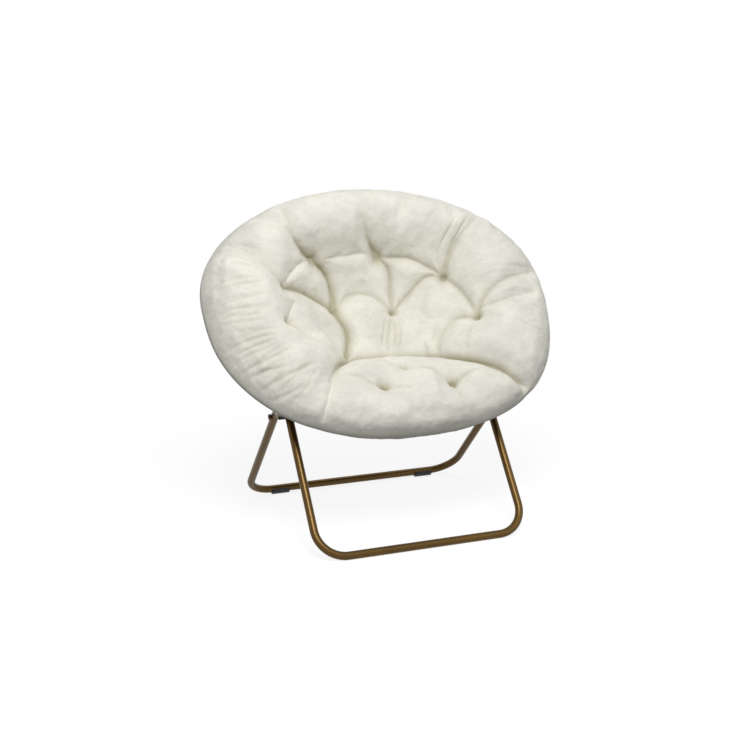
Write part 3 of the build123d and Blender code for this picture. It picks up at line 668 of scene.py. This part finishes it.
def swelled(sizes):
    """Coarse grid of how far the filling pushes the cover out between its tufts, from a cloth simulation."""
    grid = CushionGrid(sizes, sizes.around // 2, top_rows=62, under_rows=20)
    start, depth = drawn(grid, sizes)
    moved = np.zeros_like(start)
    probe = bpy.data.objects.new("swell_probe", grid.mesh("swell_probe", start))
    bpy.context.scene.collection.objects.link(probe)
    pins = probe.vertex_groups.new(name="pins")
    stitched = 14.0
    held = np.clip(depth / stitched, 0.0, 1.0) ** 0.7
    held = np.maximum(held, smooth(0.90, RIM, grid.r))
    held = np.where(grid.is_top[:, None], held, 1.0).ravel()
    for i, weight in enumerate(held):
        if weight > 0.02:
            pins.add([i + 1], float(weight), "REPLACE")
    pins.add([0], 0.3, "REPLACE")
    pins.add([len(held) + 1], 1.0, "REPLACE")
    cloth = probe.modifiers.new("swell", "CLOTH")
    cloth.settings.vertex_group_mass = "pins"
    cloth.settings.use_pressure = True
    cloth.settings.uniform_pressure_force = 4.0
    cloth.settings.shrink_min = -0.04
    cloth.settings.effector_weights.gravity = 0.0
    cloth.settings.bending_stiffness = 0.6
    cloth.settings.quality = 5
    scene, last_step = bpy.context.scene, 20
    for step in range(1, last_step + 1):
        scene.frame_set(step)
    result = probe.evaluated_get(bpy.context.evaluated_depsgraph_get()).to_mesh()
    co = np.zeros(len(result.vertices) * 3, np.float32)
    result.vertices.foreach_get("co", co)
    end = co.reshape(-1, 3)[1:-1].astype(float).reshape(start.shape)
    scene.frame_set(1)
    mesh = probe.data
    bpy.data.objects.remove(probe)
    bpy.data.meshes.remove(mesh)
    moved = blurred((end - start) * (1.0 - held.reshape(depth.shape))[..., None], 3)
    size = np.linalg.norm(moved, axis=-1, keepdims=True)
    return grid, moved * np.minimum(1.0, sizes.swell_cap / np.maximum(size, 1e-9))


def spread_to(coarse, moved, fine):
    """The coarse grid's moves read on the fine grid: columns are every second one, rows by their radius."""
    n = coarse.around
    out = np.zeros(fine.points.shape)
    for side in (True, False):
        ci, fi = np.where(coarse.is_top == side)[0], np.where(fine.is_top == side)[0]
        order = np.argsort(coarse.rho[ci])
        for axis in range(3):
            cols = np.stack([np.interp(fine.rho[fi], coarse.rho[ci][order], moved[ci[order], j, axis])
                             for j in range(n)], axis=1)
            doubled = np.empty((len(fi), 2 * n))
            doubled[:, 0::2] = cols
            doubled[:, 1::2] = (cols + np.roll(cols, -1, axis=1)) / 2
            out[fi, :, axis] = doubled
    return out


def lumps(grid):
    """Uneven filling at every point of the grid, mm."""
    heights = [sum(noise.noise(Vector(p) * scale) * height for scale, height in LUMPS)
               for p in grid.points.reshape(-1, 3)]
    return np.array(heights).reshape(grid.r.shape)


def relief(grid, wrinkles):
    """Small relief along the normals, mm: filling and wrinkles on top, filling and the seam underneath."""
    uneven = lumps(grid)
    top = uneven * (1.0 - smooth(UNEVEN_TO, RIM, grid.r)) - wrinkles
    seam_depth, seam_width = 2.2, 0.004
    under = uneven * 0.5 - seam_depth * np.exp(-((grid.r - SEAM) / seam_width) ** 2)
    return np.where(grid.is_top[:, None], top, under)


def dress_cover(cushion, grid, pulled, wrinkles, finish):
    """Plush on top and down to the seam, lining inside it, and painted shade by how deep in a fold or wrinkle
    each point lies.
    """
    cushion.data.materials.append(finish["Ivory plush"])
    cushion.data.materials.append(finish["Lining cloth"])
    rows = np.repeat(np.arange(grid.rows + 1), grid.around)
    lined = (rows > grid.top_rows) & (grid.rho[np.minimum(rows, grid.rows - 1)] < SEAM)
    cushion.data.polygons.foreach_set("material_index", lined.astype(np.int32))
    cushion.data.polygons.foreach_set("use_smooth", np.ones(len(rows), bool))
    # Painted shade: darker the deeper a tuft, fold or the seat's crease draws the top in, and a little along
    # wrinkles.
    shallow, deep = 8.0, 30.0
    shade = np.clip((pulled - shallow) / (deep - shallow), 0.0, 1.0) ** 1.4 + wrinkles * 0.05
    shade = np.where(grid.is_top[:, None], shade, 0.0).ravel()
    fold = cushion.data.attributes.new("fold", "FLOAT", "POINT")
    fold.data.foreach_set("value", np.clip(np.concatenate([shade[:1], shade, shade[-1:]]), 0.0, 1.0))
    cushion.data.update()


class SAUCER_OT_cushion(bpy.types.Operator):
    """Model the tufted bowl cushion over the ring"""
    bl_idname = "saucer.cushion"
    bl_label = "Tufted cushion"

    def execute(self, context):
        sizes = context.scene.saucer_cushion
        finish = materials(context.scene)
        coarse, moved = swelled(sizes)
        grid = CushionGrid(sizes, sizes.around, sizes.top_rows, sizes.under_rows)
        points, pulled = drawn(grid, sizes)
        points = points + spread_to(coarse, moved, grid)
        fade = 1.0 - smooth(WRINKLED_TO, RIM, grid.r)
        wrinkles = wrinkled(grid.x, grid.v) * fade * sizes.wrinkle_scale
        points = points + grid.normals(points) * relief(grid, wrinkles)[..., None] * MM
        points = kept_off_ring(grid, points, sizes)
        cushion = bpy.data.objects.new("bowl_cushion", grid.mesh("bowl_cushion", points))
        context.scene.collection.objects.link(cushion)
        dress_cover(cushion, grid, pulled, wrinkles, finish)
        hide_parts("back_cushion", "seat_cushion", "back_tuft_knots", "seat_tuft_knots",
                    "back_tunnel", "seat_tunnel")
        bend_cover(cushion)
        return {"FINISHED"}


def bend_cover(piece):
    """Bakes the piece's transform into its mesh."""
    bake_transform(piece)


class SAUCER_OT_frame(bpy.types.Operator):
    """Give the tubes, fasteners and plastic pieces their finishes"""
    bl_idname = "saucer.frame"
    bl_label = "Frame finishes"

    def execute(self, context):
        finish = materials(context.scene)
        names = {"bronze_paint": "Bronze paint", "steel": "Zinc steel", "black_plastic": "Black plastic",
                 "ivory_plush": "Ivory plush", "lining_cloth": "Lining cloth"}
        slots = {s["node"]: s["material_slot"] for s in frame["record"]["subparts"]}
        for name, node in frame["nodes"].items():
            node.data.materials.clear()
            node.data.materials.append(finish[names[slots[name]]])
        return {"FINISHED"}


class SAUCER_OT_stage(bpy.types.Operator):
    """Set the pale floor, the studio light and the camera"""
    bl_idname = "saucer.stage"
    bl_label = "Stage"

    def execute(self, context):
        scene, look = context.scene, context.scene.saucer_stage
        bpy.ops.object.select_all(action="DESELECT")
        bpy.ops.mesh.primitive_plane_add(size=look.floor_side, location=(0, 0, 0))
        floor = context.object
        floor.name = "studio_floor"
        floor.data.materials.append(floor_paper(look))
        world = bpy.data.worlds.new("Studio")
        scene.world = world
        world.use_nodes = True
        tree = world.node_tree
        tree.nodes.clear()
        strength = add(tree, "ShaderNodeMapRange", {"Value": seen_white(tree), "To Min": look.room_light,
                                                    "To Max": 1.0})
        glow = add(tree, "ShaderNodeBackground", {"Color": (1, 1, 1, 1), "Strength": strength.outputs[0]})
        out = tree.nodes.new("ShaderNodeOutputWorld")
        tree.links.new(glow.outputs[0], out.inputs["Surface"])
        for name, spot, size, power in SOFTBOXES:
            lamp = bpy.data.objects.new(name, bpy.data.lights.new(name, "AREA"))
            lamp.data.shape = "SQUARE"
            lamp.data.size, lamp.data.energy = size, power
            lamp.location = spot
            aim = Vector((0, 0, 0.5)) - lamp.location
            lamp.rotation_euler = aim.to_track_quat("-Z", "Y").to_euler()
            scene.collection.objects.link(lamp)
        lens = bpy.data.cameras.new("photo_camera")
        lens.lens, lens.sensor_width, lens.clip_end = look.lens, 36.0, 100.0
        camera = bpy.data.objects.new("photo_camera", lens)
        back = Vector((math.sin(look.azimuth) * math.cos(look.elevation),
                       -math.cos(look.azimuth) * math.cos(look.elevation), math.sin(look.elevation)))
        camera.location = Vector(look.target) + back * look.distance
        camera.rotation_euler = (-back).to_track_quat("-Z", "Y").to_euler()
        scene.collection.objects.link(camera)
        scene.camera = camera
        scene.view_settings.view_transform = "Standard"
        return {"FINISHED"}


class SAUCER_PT_panel(bpy.types.Panel):
    """Everything that dresses the saucer chair"""
    bl_idname = "SAUCER_PT_panel"
    bl_label = "Saucer chair"
    bl_space_type = "VIEW_3D"
    bl_region_type = "UI"
    bl_category = "Saucer chair"

    def draw(self, context):
        layout = self.layout
        for group in (context.scene.saucer_cushion, context.scene.saucer_frame, context.scene.saucer_stage):
            for key in group.bl_rna.properties.keys():
                if key not in ("rna_type", "name"):
                    layout.prop(group, key)
        for operator in OPERATORS:
            layout.operator(operator.bl_idname)


OPERATORS = (SAUCER_OT_frame, SAUCER_OT_cushion, SAUCER_OT_stage)
GROUPS = {"saucer_cushion": CushionSizes, "saucer_frame": FrameFinishes, "saucer_stage": StageSettings}


def register():
    for cls in (*GROUPS.values(), *OPERATORS, SAUCER_PT_panel):
        bpy.utils.register_class(cls)
    for name, group in GROUPS.items():
        setattr(bpy.types.Scene, name, PointerProperty(type=group))


def unregister():
    for name in GROUPS:
        delattr(bpy.types.Scene, name)
    for cls in reversed((*GROUPS.values(), *OPERATORS, SAUCER_PT_panel)):
        bpy.utils.unregister_class(cls)


def main():
    register()
    bpy.ops.saucer.frame()
    bpy.ops.saucer.cushion()
    bpy.ops.saucer.stage()


if __name__ == "__main__":
    main()
